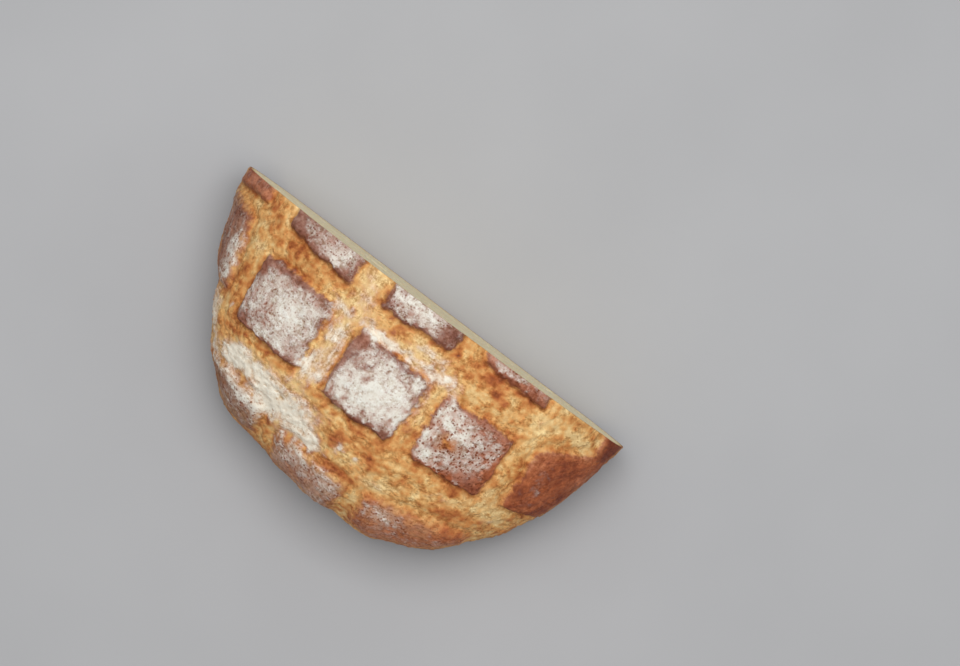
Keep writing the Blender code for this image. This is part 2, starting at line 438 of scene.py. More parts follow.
# %% Spots of flour
FLOUR_SPOTS = (
    # the row along the cut
    (62, 6, 9, 4, 14), (54, 9, 6, 5, 26), (74, 10, 5, 3, 6), (85, 8, 5, 7, -60), (82, 13, 6, 3, -40, -8),
    (45, 14, 3, 4, -20), (49, 8, 4, 5, 20), (17, 7, 3, 3, 32), (3, 6, 9, 4, 50), (20, 14, 4, 4, -40),
    (-18, 9, 6, 6, -50), (2, 15, 14, 2, -20), (-51, 5, 7, 2.5, 22), (-40, 7, 3, 4, -35),
    (-72, 6, 6, 3, -20), (-62, 4, 5, 2, 15),
    # the left side
    (100.5, 43, 3.6, 11, 55, 14), (104, 33, 3, 5, 16), (100, 57, 3, 4, 30), (110, 47, 3, 5, -30, 10),
    (108, 56, 4, 3, -15), (113, 24, 4, 5, -20), (88, 66, 1.8, 1.8, 80), (100, 58, 3, 6, 36, 20),
    (94, 79, 10, 5, 95, -54), (98, 71, 5, 4, 35, -60), (84, 91, 9, 4, 75, -48), (88, 87, 1.5, 1.5, -40),
    (94, 70, 5, 4, 26), (102, 65, 6, 3.5, 45, -60),
    # the middle row, left square
    (46, 69.5, 5, 2.2, -30), (42, 50, 2.4, 18, -50), (58, 50, 12, 9, 26), (55, 54, 7, 7, 16),
    (76, 48, 8, 7, 14), (85, 38, 5, 6, -60), (66, 33, 20, 2.5, -55), (60, 71, 22, 1.6, -30),
    (58, 66, 16, 3, 16), (79, 67, 6, 3, -35, 20), (46, 63, 4, 4, -20), (72, 63, 6, 3, -14),
    (44, 36, 4, 3, -25, -40), (60, 42, 14, 4, 6),
    # the middle row, middle square
    (-5, 55, 15, 12, 34), (2, 64, 14, 6, 18), (12, 60, 5, 5, 8), (-24, 56, 2, 9, 30), (5, 35, 16, 2, -45),
    (18, 38, 4.5, 4, -75), (-10, 37, 7, 1.6, -35, -10), (-18, 41, 5, 4, 35), (20, 53, 2.6, 12, -35),
    (22, 50, 2.5, 12, -45), (15, 47, 4, 6, -28, 30), (8, 48, 1.4, 5, -50, -30), (4, 53, 1.7, 3, -55, -30),
    (-20, 71, 3.5, 2.5, -60), (0, 75, 26, 2.4, -90), (6.5, 67, 1.6, 1.6, -60), (-5, 68, 1.7, 1.3, -60),
    (-18.5, 62, 1.6, 1.6, -60), (16, 68, 1.6, 1.6, -50), (-17, 43, 2, 1.5, -45), (-21, 47, 2, 2, -30),
    (-20, 62, 3, 8, 20),
    # the middle row, right square, and the right side
    (-47, 45, 8, 4, 24, -20), (-55, 48, 5, 6, 20), (-39, 57, 4, 4, 38), (-44, 66, 5, 4, 44, 20),
    (-40, 43, 4, 5, 34), (-58, 62, 6, 5, 8), (-50, 55, 5.2, 4, -55), (-45, 51, 3, 2, -45, -30),
    (-43, 61, 3, 2, -50), (-75, 65, 7, 5, -80), (-73, 36, 6, 3, -25), (-54, 34, 14, 2.2, -35),
    (-62, 68, 9, 3, -28), (-79, 50, 2.5, 16, -55), (-36, 43, 2, 6, -30), (-102, 45, 4, 12, 34),
    # the slashes
    (-27, 42, 2, 9, 30), (12, 30.5, 12, 3, 110), (-6, 30, 8, 2.5, 50), (-12, 33, 12, 1.8, 36),
    (9, 34, 6, 1.8, 50), (35, 65, 2, 7, 30), (42, 28, 6, 2.5, 40, -20), (-21, 30, 7, 3, 75),
    (-30, 28, 6, 3, 55, -15), (35, 65, 3, 7, 85), (29, 70, 5, 8, 60), (36, 75, 5, 3, 14),
    (25, 71, 3, 5, 35), (33, 46, 4, 5, 60), (42, 50, 2.5, 14, 38), (40, 36, 3, 4, 30), (38, 31, 6, 3, 60),
    (26, 43, 4, 6, 35), (-38, 33, 5, 2.5, 50), (36, 6, 5, 4, 40), (92, 32, 3, 2, 40), (4, 45, 46, 40, 24),
    (30, 18, 8, 10, 42), (-16, 22, 11, 4, 60), (32, 40, 6, 7, 36), (24, 56, 3.5, 8, 58), (31, 56, 3, 6, 40),
    (-85, 15, 6, 4, 22), (-34, 27, 6, 3, 40, -10), (-30, 50, 4, 12, 14), (95, 29, 5, 4, 22),
    (40, 78, 10, 3, 24), (0, 119, 26, 4, -30),
    # the outer row
    (72, 85, 7, 6, 150), (66, 87, 5, 5.5, 100), (58, 86, 7, 5, 135), (47, 90, 8, 8, 110),
    (38, 94, 7, 9, 115), (27, 91, 8, 7, 95, 10), (18, 97, 10, 7, 115), (6, 100, 6, 4, 105),
    (38, 100, 5, 3.5, 45), (64, 97, 10, 2.4, 50, -10), (40, 105, 3, 3.5, 30), (20, 83, 12, 3, 30),
    (52, 100, 8, 4, 28), (66, 95, 11, 2, 22, -4), (14, 88, 6, 3, 50), (-7, 92, 3.2, 3, 95),
    (-17, 93, 2.4, 2, 90), (-36, 96, 6, 3, 42), (-46, 107, 11, 4, 26, 8), (-66, 103, 6, 5, -20),
    (-80, 96, 9, 4, -30), (-96, 75, 9, 2.2, 42, 35), (-66, 81, 10, 1.6, 30, 20), (34, 108, 3, 4, -30),
    (26, 108, 3, 6, 34), (20, 107, 3, 2, -30), (0, 106.5, 16, 1.3, 40), (60, 108, 14, 3, 10, -25),
    (-60, 88, 5, 2, 14, 10), (-28, 98, 5, 3, 30), (70, 103, 5, 4, -25, -20),
)
print("spots of flour:", len(FLOUR_SPOTS))

# %% Spots of colour
# A slash is palest where it tore open last, and darkest beside the squares
TOAST_SPOTS = (
    (-50, 55, 5, 4, 20), (-37, 20, 1.6, 3, 25, 20), (-54, 19, 5, 2.2, 22), (41, 52, 3, 14, -15),
    (31, 72, 6, 7, -22), (-30, 50, 4, 12, -10), (95, 29, 5, 4, -16), (-50, 82, 8, 4, 14),
    (-88, 46, 4, 8, 16), (65, 24, 6, 3, 10), (93, 80, 9, 5, -18, -54), (92, 3, 5, 4, -26),
    (110, 15, 8, 3.5, -20, 25), (98, 22, 6, 4, -16), (63, 23, 5, 2.5, -4), (75, 25, 16, 4, 10),
    (31, 12, 6, 10, -24), (27, 23, 6, 5, -22), (31, 37, 4, 5, -30), (-16, 22, 10, 3.5, -30),
    (105, 27, 2.5, 8, 35, 15), (-44.5, 24.5, 7.5, 3.2, -27), (-86, 16, 7, 6, -30),
    (-105, 12, 10, 3.5, -28, -10), (-86, 29, 4, 5, -22), (-88, 65, 5, 6, -36), (-86, 74, 9, 4, -20, 25),
    (-33, 38, 4, 4, -22), (91, 33, 4, 4, -16), (-66, 81, 11, 2, -28, 22), (-98, 70, 7, 4, -14, 40),
    (-27, 112, 5, 6, -20), (92, 66, 4, 5, -10), (45, 78, 20, 2, -6), (-35, 98, 7, 4, -22),
    (-2, 29, 6, 2, -12), (100, 8, 5, 4, 36), (93, 50, 3, 12, 8), (0, 23, 9, 3, 13), (74, 20, 14, 2, 20, -6),
    (65, 30, 12, 2, 12), (92, 48, 4, 6, 20), (89, 60, 3, 8, 24), (2, 23, 10, 2.5, 12), (-40, 13, 7, 6, 15),
    (-51, 13, 5, 4, 34), (-59, 20, 5, 4, 38), (-60, 30, 16, 2.2, 18), (-71, 13, 6, 4, 14),
    # The two broad spots low on the rounded side, at (-50, 95) and (-14, 94), make that slope paler
    (-100, 5, 7, 2.5, 24), (-50, 95, 40, 12, -10, 5), (-14, 94, 22, 10, -5), (-32, 64, 3, 5, 28),
    (-27, 50, 2, 12, 12), (-88, 60, 3, 4, 12), (-90, 43, 2.5, 8, 14), (62, 93, 9, 2, 12),
    (-3, 88, 4, 4, 34), (-22, 88, 9, 5, 26), (-10, 103, 13, 3, 38), (14, 104, 9, 1.4, 12),
    (-45, 75, 7, 2.5, 24), (-66, 75, 6, 2.5, 22), (-75, 85, 7, 4, 32, 20), (-58, 93, 12, 3, 8, 10),
    (34, 106, 4, 5, 24), (-35, 105, 5, 3, 24), (65, 75, 16, 1.8, 32), (0, 78, 20, 1.6, 16),
    (97, 62, 4, 6, 16, 30), (-82, 96, 7, 3, 30, 30), (-105, 12, 8, 3, -8),
)
# Dark marks. The long thin ones at (65, 16), (60, 72.5) and (2, 75) lie along the lower edges of squares
# and paint the shadow line under walls that face away from the lamp; the rest darken the crust in small
# patches
DARK_AND_SHADOW_SPOTS = (
    (65, 24, 9, 3.5, 22), (84, 10, 4, 5, 35), (19, 38, 3, 4, 34), (-18, 10, 5, 4, 22), (21, 14, 2.5, 3, 40),
    (-45, 52, 3, 1.6, 38, -30), (-42, 61, 2.5, 2, 40), (85, 37, 3, 5, 26), (3, 53, 1.3, 2.5, 35, -30),
    (-51, 59.8, 4, 1.2, 35), (-45, 56, 1.2, 3, 35), (-56.5, 55, 1.2, 3, 40), (8, 47, 1.2, 4, 30, -30),
    (-3, 88, 4, 4, 34), (66, 103, 9, 3.5, 40, -18), (2, 75, 18, 1.1, 45), (34, 107, 3, 4, 12),
    (-12, 105, 12, 1.2, 25), (60, 72.5, 18, 1, 35), (65, 16, 20, 1.1, 40, -9), (78, 68, 5, 3, 30, 20),
    (-20, 72, 3, 2, 40), (-70, 62, 9, 7, 12), (116, 50, 3, 9, 24, 8), (94, 16, 6, 2, 20, 30),
)
RED_SPOTS = (
    (-51, 13, 6, 4, 62), (-59, 20, 6, 4, 66), (-62, 11, 8, 3, 20), (100, 8, 5, 4, 40), (-3, 88, 4, 4, 55),
    (-9, 103, 10, 3, 60), (-75, 85, 7, 4, 35, 20), (86, 38, 4, 6, 10), (19, 37, 4, 4, 30),
    (62, 94, 6, 2, 25), (33, 107, 4, 5, 15), (-82, 95, 10, 5, 50, 20), (-78, 52, 5, 20, 50),
    (-60, 114, 14, 5, 30, 10), (-31, 66, 3, 5, 30), (-50, 56, 5.5, 4.5, -60), (-22, 90, 8, 5, 18),
    (66, 31, 12, 2, 10), (-58, 70, 14, 3, 50), (-60, 30, 15, 2, 22), (97, 62, 4, 6, 20, 30),
)
# Where the old skin has come off and the golden crust shows
BARE_SPOTS = ((-50.3, 55.2, 5.2, 3.9, 125),)
# Where steam raised the crust into a smooth, pale bubble
BUBBLES = ((-45, 24, 7, 3.4, 100), (-23, 20, 6, 3, 60, 10), (-104, 12, 8, 3, 60, -10))
print("spots of colour:", len(TOAST_SPOTS) + len(DARK_AND_SHADOW_SPOTS) + len(RED_SPOTS))


# %% Read the spots and finishes
def in_oval(plan, middle, wide, deep, turn):
    """How far along and across a turned oval each place is, in its half sizes."""
    away = plan - middle
    side, up = math.cos(turn), math.sin(turn)
    return (away[:, 0] * side + away[:, 1] * up) / wide, (away[:, 1] * side - away[:, 0] * up) / deep


def spots_on(plan, spots):
    """The sum of the soft spots at each place."""
    total = np.zeros(len(plan))
    for x, y, wide, deep, percent, *turn in spots:
        along, across = in_oval(plan, (x, y), wide, deep, math.radians(sum(turn)))
        total += percent / 100 * np.exp(-along * along - across * across)
    return total


def finishes_on(square):
    """The finishes by name, at points that lie on these squares."""
    rows = np.array([SQUARE_FINISHES[name] for name in SQUARES])[square]
    return dict(zip(FINISH_NAMES, rows.T))


# %% [markdown]
# Relief and colour of the crust
#
# One function reads a point of the smooth loaf and says how far the real surface stands out there
# and how it is coloured. The skin stands 3 mm proud with a curled lip. A slash has a groove at the
# foot of the wall, a swelling middle, and torn ridges that run along it. Each surface is a mix of
# noises, from wide hills to fine grit, and a small table says how much of each goes in. The ridges
# come from noise that is read by the distance to the slash edge instead of by place, so they
# follow every edge and bend round every corner.

# %% Relief and colour
SKIN_RISE = 3.4
SKIN_RISE_AT_RIM = 0.6
SKIN_LOWEST = 34.0
SKIN_FULL_RISE = 62.0
CLEAN_SLASH = 0.22
TOAST_BASE = 0.41


def skin_rise(height):
    share = soft_step(SKIN_LOWEST, SKIN_FULL_RISE, height)
    return SKIN_RISE_AT_RIM + (SKIN_RISE - SKIN_RISE_AT_RIM) * share


def shaken_plan(points, shakes, seed):
    """The view from above, shaken by noise so that edges and spots aren't smooth."""
    plan = points[:, :2].copy()
    for spacing, amount in shakes:
        for side in (0, 1):
            plan[:, side] += amount * hills(points, spacing, seed + 5.1 * side)
    return plan


EDGE_SHAKES = ((13.0, 1.5), (5.5, 1.2), (2.6, 1.0))
SPOT_SHAKES = ((6.0, 2.2), (2.5, 1.1))
# Angle round the loaf in degrees, how far the side stands out there in mm, and its spread in degrees
RIM_SWELLS = (
    (12, -2, 4), (30, -2.6, 4), (38, -2.2, 9), (53, -1, 4), (86, -1.4, 4), (42, -1.8, 11), (63, 1.5, 5),
    (84, 2.6, 5), (88, -1.8, 10), (98, -1.4, 5), (101.5, -1, 3), (106, -1.8, 9), (117, -2, 8),
    (111, 2.2, 4), (136, -3.2, 8), (150, -1.6, 5), (162, -2.4, 8), (173, -2.6, 7),
)
RIM_SWELL_HEIGHT = WAIST_HEIGHT + 4.0
RIM_SWELL_SPREAD = 24.0


def rim_swell(points):
    """Low swells on the side of the loaf, which make its outline uneven."""
    angle = np.degrees(np.arctan2(points[:, 1], points[:, 0]))
    total = sum(amount * bell(angle, degrees, spread) for degrees, amount, spread in RIM_SWELLS)
    return total * bell(points[:, 2], RIM_SWELL_HEIGHT, RIM_SWELL_SPREAD)


# %% Noise of the crust
# Each noise: the distance between its hills in mm, and a seed that keeps it apart
NOISES = {"wide": (15, 71), "broad": (9, 3.7), "patch": (4.3, 17), "medium": (2.6, 8.2), "fine": (1.3, 1.9)}
STREAK_WIDTH = 2.2
STREAK_LENGTH = 9.0
# How much of each noise goes into each surface, in mm, and into each colour
TORN_CRUST = {"streak": 0.34, "thin_streak": 0.2, "medium": 0.44, "fine": 0.34, "flake": 0.17, "chip": 0.15}
OLD_SKIN = {"broad": 0.5, "medium": 0.42, "blister": 0.34, "fine": 0.26, "crack": -0.35}
LOW_SIDE = {"broad": 0.5, "patch": 0.25, "medium": 0.2, "fine": 0.1}
SWELLING = {"broad": 0.9, "patch": 0.6}
FLOUR_UNEVENNESS = {"patch": 0.22, "medium": 0.16, "fine": 0.1}
SPOT_UNEVENNESS = {"patch": 0.35, "medium": 0.25}
TOASTING = {"streak": 0.1, "thin_streak": 0.06, "wide": 0.22, "patch": 0.32, "medium": 0.2, "flake": -0.06}
MOTTLING = {"wide": 0.3, "patch": 0.3, "medium": 0.25}


def crust_noises(points, depth):
    """Every noise of the crust, by name."""
    noises = {name: hills(points, *noise_form) for name, noise_form in NOISES.items()}
    along = np.column_stack((depth / STREAK_WIDTH, points[:, :2] / STREAK_LENGTH))
    noises["streak"] = hills(along, 1.0, 21.0)
    noises["thin_streak"] = hills(along * (2.1, 1.7, 1.7), 1.0, 4.4)
    noises["flake"] = soft_step(0.0, 0.10, hills(along * (0.75, 1.6, 1.6), 1.0, 33.0))
    noises["chip"] = soft_step(0.0, 0.12, hills(points, 3.4, 27.0))
    noises["blister"] = soft_step(0.18, 0.55, hills(points, 4.2, 15.0))
    lines = bell(hills(points, 7.5, 61.0), 0.0, 0.035)
    noises["crack"] = lines * soft_step(0.0, 0.3, hills(points, 14.0, 5.5))
    return noises


def mixed(noises, shares):
    """The sum of noises, with as much of each as shares says."""
    return sum(share * noises[name] for name, share in shares.items())


# %% Relief and stored values
def crust_surface(points, normals):
    """Relief in mm and the stored values for the material, at points of the smooth loaf."""
    height = points[:, 2]
    level = np.clip(normals[:, 2:], 0.35, 1.0)
    edge_plan = points[:, :2] + (shaken_plan(points, EDGE_SHAKES, 11.3) - points[:, :2]) * level
    spot_plan = shaken_plan(points, SPOT_SHAKES, 31.0)
    depth, square, facing = distance_to_slash(edge_plan, normals)
    noises = crust_noises(points, depth)
    finish = finishes_on(square)
    soft, broad, patch, crack = finish["softness"], noises["broad"], noises["patch"], noises["crack"]

    # Where the skin is, and how steep its wall
    upper = soft_step(20.0, 36.0, height)
    side = soft_step(28.0, 52.0, height + 7.0 * broad + 5.0 * noises["wide"])
    rise = skin_rise(height)
    full = rise / SKIN_RISE
    shaded = soft_step(-0.1, 0.9, facing)
    wall = 2.2 - 0.9 * shaded + 1.1 * hills(points, 11.0, 50.0) + 2.6 * soft
    skin = soft_step(-wall, wall, depth)
    into = np.maximum(-depth, 0.0)
    slash = 1.0 - skin

    # Flour keeps away from a square's edge. On the shaded side, whose wall faces away from the lamp, the
    # bare margin is widest, which is part of the painted shadow line under that wall
    reach = depth + 2.2 * patch + 1.4 * noises["medium"]
    margin = soft_step(-1.8 + 1.6 * shaded - 2.0 * soft, 2.0 + 1.6 * shaded + 5.0 * soft, reach)
    spread = skin * margin * side
    flour = finish["flour"] * spread
    flour = flour + spots_on(spot_plan, FLOUR_SPOTS) * (1.0 + mixed(noises, SPOT_UNEVENNESS))
    flour = flour * (0.25 + 0.75 * side)
    uneven = 0.40 + (0.35 + 0.65 * finish["specks"]) * skin
    flour = flour + mixed(noises, FLOUR_UNEVENNESS) * uneven
    flour = flour - 0.3 * crack * skin - (CLEAN_SLASH + 0.15 * shaded * skin) * (1.0 - spread)
    thick_flour = np.clip(flour, 0, 1)

    # Relief
    lip = bell(depth, 1.1, 0.9) * full * (0.25 * shaded + 0.6 * broad)
    groove = bell(depth, -1.4, 0.9) * full * (0.12 + 0.38 * shaded + 0.4 * broad)
    swell = (1.35 * soft_step(1.0, 7.0, into) + mixed(noises, SWELLING)) * (0.3 + 0.7 * full)
    bubble = spots_on(spot_plan, BUBBLES)
    torn = mixed(noises, TORN_CRUST) * (1.0 - 0.8 * bubble)
    old = mixed(noises, OLD_SKIN) * (1.0 - 0.5 * thick_flour)
    relief = skin * (rise + old) + lip - groove + slash * (swell + torn * soft_step(0.2, 1.4, into))
    relief = relief + 1.3 * bubble
    low = mixed(noises, LOW_SIDE) + SKIN_RISE_AT_RIM
    relief = upper * relief + (1 - upper) * low + rim_swell(points)

    # Colour
    toast = TOAST_BASE + 1.25 * spots_on(spot_plan, TOAST_SPOTS) + mixed(noises, TOASTING)
    toast = toast + 0.12 * bell(into, 0.4, 2.2) - 0.05 * soft_step(2.0, 7.0, into)
    red = finish["red"] * skin * side + spots_on(spot_plan, RED_SPOTS) + 0.2 * noises["wide"]
    # Dark edges: painted shadow along walls that face away from the lamp, and darker brown at random along
    # other edges
    dark_and_shadow = bell(depth, 0.7 * shaded - 0.3, 0.9 + 0.9 * shaded) * (0.62 * shaded + 0.28 * broad) * full
    dark_and_shadow = dark_and_shadow * (1 - 0.85 * thick_flour * (1 - 0.7 * shaded)) * finish["old"]
    bare = np.clip(spots_on(spot_plan, BARE_SPOTS), 0, 1)
    old_skin = finish["old"] * side * (1.0 - bare)
    old_skin = old_skin * (1.0 - soft * (1.0 - soft_step(-1.0, 6.0, depth + 3.0 * patch)))
    values = {
        "edge": np.clip(depth, -16, 16),
        "skin": old_skin,
        "flour": np.clip(flour, -0.5, 1.3),
        "toast": np.clip(toast, 0, 1),
        "red": np.clip(red, 0, 1),
        "dark_and_shadow": np.clip(dark_and_shadow + spots_on(spot_plan, DARK_AND_SHADOW_SPOTS), 0, 1),
        "specks": (finish["specks"] * skin + 0.3 * slash * thick_flour) * side,
        "rim": 1.0 - soft_step(8.0, 46.0, height + 7 * broad + 5 * noises["wide"]),
        "mottle": 0.5 + finish["brown"] * skin * side + mixed(noises, MOTTLING),
        "inside": np.zeros(len(points)),
    }
    return relief, values


# %% [markdown]
# The crust as a shell
#
# The crust is a shell about 2 mm thick. Its outside has panels of less than a millimetre, which
# carry the relief. Its inside is never seen, so a few thousand panels do. The outside is cut by
# the knife's plane, and so is the inside. The two cut lines are then joined by the narrow ring
# where the crust shows on the cut face. The knife leaned a little, so this plane leans too.


# %% Shell helpers
def places_and_normals(mesh):
    """The places of the vertices and the directions they face, as two arrays."""
    arrays = []
    for items, name in ((mesh.vertices, "co"), (mesh.vertex_normals, "vector")):
        values = np.empty(len(items) * 3)
        items.foreach_get(name, values)
        arrays.append(values.reshape(-1, 3))
    return arrays


def set_places(mesh, places):
    mesh.vertices.foreach_set("co", places.ravel())
    mesh.update()


def store(mesh, values):
    """Keeps values at the vertices, for the material."""
    for name, numbers in values.items():
        layer = mesh.attributes.get(name) or mesh.attributes.new(name, "FLOAT", "POINT")
        layer.data.foreach_set("value", np.asarray(numbers, dtype=np.float32))


def smooth_dome(across, upright):
    """A mesh of the smooth loaf's back half, in mm, with the uneven surface of the solid."""
    bm = box_of_panels(across, upright)
    bmesh.ops.recalc_face_normals(bm, faces=bm.faces)
    mesh = mesh_from(bm, "dome")
    set_places(mesh, loaf_points(dome_directions(places_and_normals(mesh)[0])))
    places, normals = places_and_normals(mesh)
    places += normals * (UNEVENNESS * hills(places, UNEVENNESS_SPACING))[:, None]
    set_places(mesh, places)
    return mesh


# %% Knife and base
CUT_LEAN = math.radians(2.1)
BASE_RINGS = (0.985, 0.95, 0.88, 0.74, 0.52, 0.28)


def cut_plane():
    """A point of the knife's plane, in mm, and its direction into the loaf."""
    into_loaf = Vector((0, math.cos(CUT_LEAN), -math.sin(CUT_LEAN)))
    return Vector((0, 0, WAIST_HEIGHT)), into_loaf


def next_ring(bm, rim):
    """Draws a rim out into a new ring: its points, and its edges as the next rim."""
    made = bmesh.ops.extrude_edge_only(bm, edges=rim)["geom"]
    points = [piece for piece in made if isinstance(piece, bmesh.types.BMVert)]
    edges = [piece for piece in made if isinstance(piece, bmesh.types.BMEdge)]
    return points, [edge for edge in edges if set(points).issuperset(edge.verts)]


def cut_and_close_base(mesh, floor_height):
    """Cuts the dome at the base and at the knife's plane, and closes its base with flat rings."""
    bm = bmesh.new()
    bm.from_mesh(mesh)
    point, into_loaf = cut_plane()
    slice_off(bm, (0, 0, floor_height), (0, 0, 1))
    slice_off(bm, point, into_loaf)
    rim = [
        edge for edge in bm.edges
        if edge.is_boundary and all(abs(vertex.co.z - floor_height) < 1e-4 for vertex in edge.verts)
    ]
    middle = Vector((0, (floor_height - point.z) * math.tan(CUT_LEAN), floor_height))
    last = 1.0
    for size in BASE_RINGS:
        ring, rim = next_ring(bm, rim)
        to_middle = Matrix.Translation(-middle)
        bmesh.ops.scale(bm, vec=(size / last, size / last, 1), space=to_middle, verts=ring)
        last = size
    ring, rim = next_ring(bm, rim)
    bmesh.ops.pointmerge(bm, verts=ring, merge_co=middle)
    return bm


# %% Outside of the crust
OUTSIDE_PANELS = (236, 122)

outside_mesh = smooth_dome(*OUTSIDE_PANELS)
places, normals = places_and_normals(outside_mesh)
relief, values = crust_surface(places, normals)
set_places(outside_mesh, places + normals * relief[:, None])
store(outside_mesh, values)
outside = cut_and_close_base(outside_mesh, 0.0)
print("outside of the crust:", len(outside.verts), "points, relief", relief.min(), relief.max())

# %% Inside of the crust
INSIDE_PANELS = (60, 34)
CRUST_THICKNESS = 2.0
BASE_THICKNESS = 2.6

inside_mesh = smooth_dome(*INSIDE_PANELS)
places, normals = places_and_normals(inside_mesh)
depth = distance_to_slash(places[:, :2], normals)[0]
follow = skin_rise(places[:, 2]) * soft_step(0.5, 4.0, depth) + 0.9 * soft_step(2.0, 7.0, -depth)
follow = follow + rim_swell(places)
set_places(inside_mesh, places + normals * (follow - CRUST_THICKNESS)[:, None])
store(inside_mesh, {name: np.zeros(len(places)) for name in values})
store(inside_mesh, {"inside": np.ones(len(places))})
inside = cut_and_close_base(inside_mesh, BASE_THICKNESS)
print("inside of the crust:", len(inside.verts), "points")


# %% Join the two
def cut_loop(bm):
    """The open edges that the knife left, and their points on the cut plane."""
    point, into_loaf = cut_plane()
    up_face = Vector((0, math.sin(CUT_LEAN), math.cos(CUT_LEAN)))
    edges = [edge for edge in bm.edges if edge.is_boundary]
    corners = {vertex for edge in edges for vertex in edge.verts}
    flat = [(vertex.co.x, (vertex.co - point).dot(up_face)) for vertex in corners]
    return edges, np.array(flat)


crumb_outline = cut_loop(inside)[1]
print("cut line inside the crust:", len(crumb_outline), "points")
for bm, mesh in ((inside, inside_mesh), (outside, outside_mesh)):
    bm.to_mesh(mesh)
    bm.free()
shell = bmesh.new()
shell.from_mesh(outside_mesh)
shell.from_mesh(inside_mesh)
cut_edges = cut_loop(shell)[0]
ring = bmesh.ops.triangle_fill(shell, use_beauty=True, edges=cut_edges, normal=-cut_plane()[1])["geom"]
bmesh.ops.recalc_face_normals(shell, faces=shell.faces)
for face in shell.faces:
    face.smooth = True
for edge in cut_edges:
    edge.smooth = False
print("ring on the cut face:", sum(isinstance(piece, bmesh.types.BMFace) for piece in ring), "faces")

# %% [markdown]
# Crust material
#
# The crust has three paints that lie over each other. In the slashes it runs from straw yellow to
# dark orange-brown, as crust does that browned for a shorter or longer time. On the squares it is
# a dull purple to red brown, because that skin dried and browned from the start. Flour lies over
# both: where it is thin it only veils the brown, and where it is thick it covers it in grains. The
# shares of each are stored at the points of the mesh, and fine noise breaks up their borders.

# %% Paints and noise of the crust
STRAW = paint(232, 202, 144)
GOLD = paint(219, 171, 107)
TAN = paint(199, 135, 75)
AMBER = paint(166, 95, 48)
CHESTNUT = paint(104, 52, 26)
PLUM_PALE = paint(184, 150, 136)
PLUM = paint(150, 109, 95)
PLUM_DARK = paint(102, 60, 50)
BRICK = paint(198, 116, 72)
BRICK_DARK = paint(122, 58, 36)
FLOUR = paint(229, 226, 215)
WARM_FLOUR = paint(238, 230, 212)
DUST = paint(204, 186, 176)
RIM_GOLD = paint(196, 140, 86)
RIM_BROWN = paint(150, 98, 60)
BASE_BROWN = paint(98, 56, 30)
RIND_BROWN = paint(126, 70, 36)
CRUMB_GOLD = paint(214, 182, 128)
FINE = (1.1, 3.0, 0.6)
FINEST = (0.45, 2.0, 0.6)
BROAD = (4.5, 2.0, 0.5)
PITS = (1.9, 4.0, 0.62)
THREADS_PER_MM = 0.75
THREAD_LENGTH = 8.0

crust_finish, tree, shader = new_material("baked_crust")
fine = grain(*FINE)
shake = shaken(fine)
finest_shake = shaken(grain(*FINEST))
shake_broad = shaken(grain(*BROAD))
pit_shake = shaken(grain(*PITS))

# Torn threads: noise that is read by the distance to the slash's edge, so it follows the slash
edge = attribute("edge")
across = times(edge, THREADS_PER_MM)
place = add("ShaderNodeSeparateXYZ", {0: object_place()}).outputs
along = [times(place[side], 1 / (THREAD_LENGTH * MM)) for side in ("X", "Y")]
by_edge = add("ShaderNodeCombineXYZ", {0: across, 1: along[0], 2: along[1]}).outputs[0]
sockets = {"Vector": by_edge, "Scale": 1.0, "Detail": 3.0, "Roughness": 0.6}
thread_shake = shaken(add("ShaderNodeTexNoise", sockets).outputs["Fac"])

# %% Slashes, skin and rim
toast = plus(attribute("toast"), (shake, 0.35), (thread_shake, 0.45), (shake_broad, 0.8))
slash_stops = ((0.0, STRAW), (0.30, GOLD), (0.55, TAN), (0.80, AMBER), (1.0, CHESTNUT))
slash_paint = ramp(clamped(toast), slash_stops)
depth_of_brown = plus(attribute("mottle"), (shake, 0.8))
plum_paint = ramp(depth_of_brown, ((0.1, PLUM_PALE), (0.5, PLUM), (0.95, PLUM_DARK)))
brick_paint = ramp(depth_of_brown, ((0.1, BRICK), (0.95, BRICK_DARK)))
red = attribute("red")
skin_paint = blend(red, plum_paint, brick_paint)
slash_paint = blend(times(red, 0.6), slash_paint, BRICK)
ragged = plus(edge, (shake, 3.0), (shake_broad, 3.0))
on_skin = times(weigh(ragged, -0.9, 0.9), attribute("skin"))
bare = blend(on_skin, slash_paint, skin_paint)

low_down = attribute("rim")
rim_tone = plus(low_down, (shaken(depth_of_brown), 0.6))
rim_paint = ramp(rim_tone, ((0.10, RIM_GOLD), (0.55, RIM_BROWN), (1.0, BASE_BROWN)))
bare = blend(weigh(low_down, 0.05, 0.55), bare, rim_paint)

# %% [markdown]
# Scorched specks and flour
#
# Small round dots, where the skin scorched, come from the distance to scattered points. Flour
# needs two layers to look real: a broad veil that only dulls the paint, and grains that cover it.
# In the slashes it lies in streaks along the torn threads and looks warmer, because the golden
# crust shines through. Last, the paint is darkened in every hollow and lightened on every crest,
# from the same noises as the bumps: painted shade and painted highlight, which a bump alone can't do.

# %% Specks and flour
SPECK_SPACING = 2.0
ROUGH_PLATES = (6.0, 1.0)
# Tints that paint shade into hollows and a highlight onto crests, and a near even tint where flour covers
HOLLOW_PAINTED_SHADE = (0.66, 0.51, 0.38, 1.0)
CREST_PAINTED_HIGHLIGHT = (1.30, 1.35, 1.42, 1.0)
FLOUR_PAINTED_LIGHT = (1.03, 1.03, 1.03, 1.0)

sockets = {"Vector": object_place(), "Scale": 1 / (SPECK_SPACING * MM)}
dots = add("ShaderNodeTexVoronoi", sockets).outputs["Distance"]
dots = plus(dots, (shake_broad, -0.6), (shake, 0.7))
specks = times(weigh(dots, 0.16, 0.34, 1.0, 0.0), attribute("specks"))
# The dark marks, partly painted shadow under the walls, go in with the scorched specks
scorch_and_shadow = clamped(plus(attribute("dark_and_shadow"), (specks, 0.72)))
bare = blend(times(scorch_and_shadow, 0.80), bare, CHESTNUT)

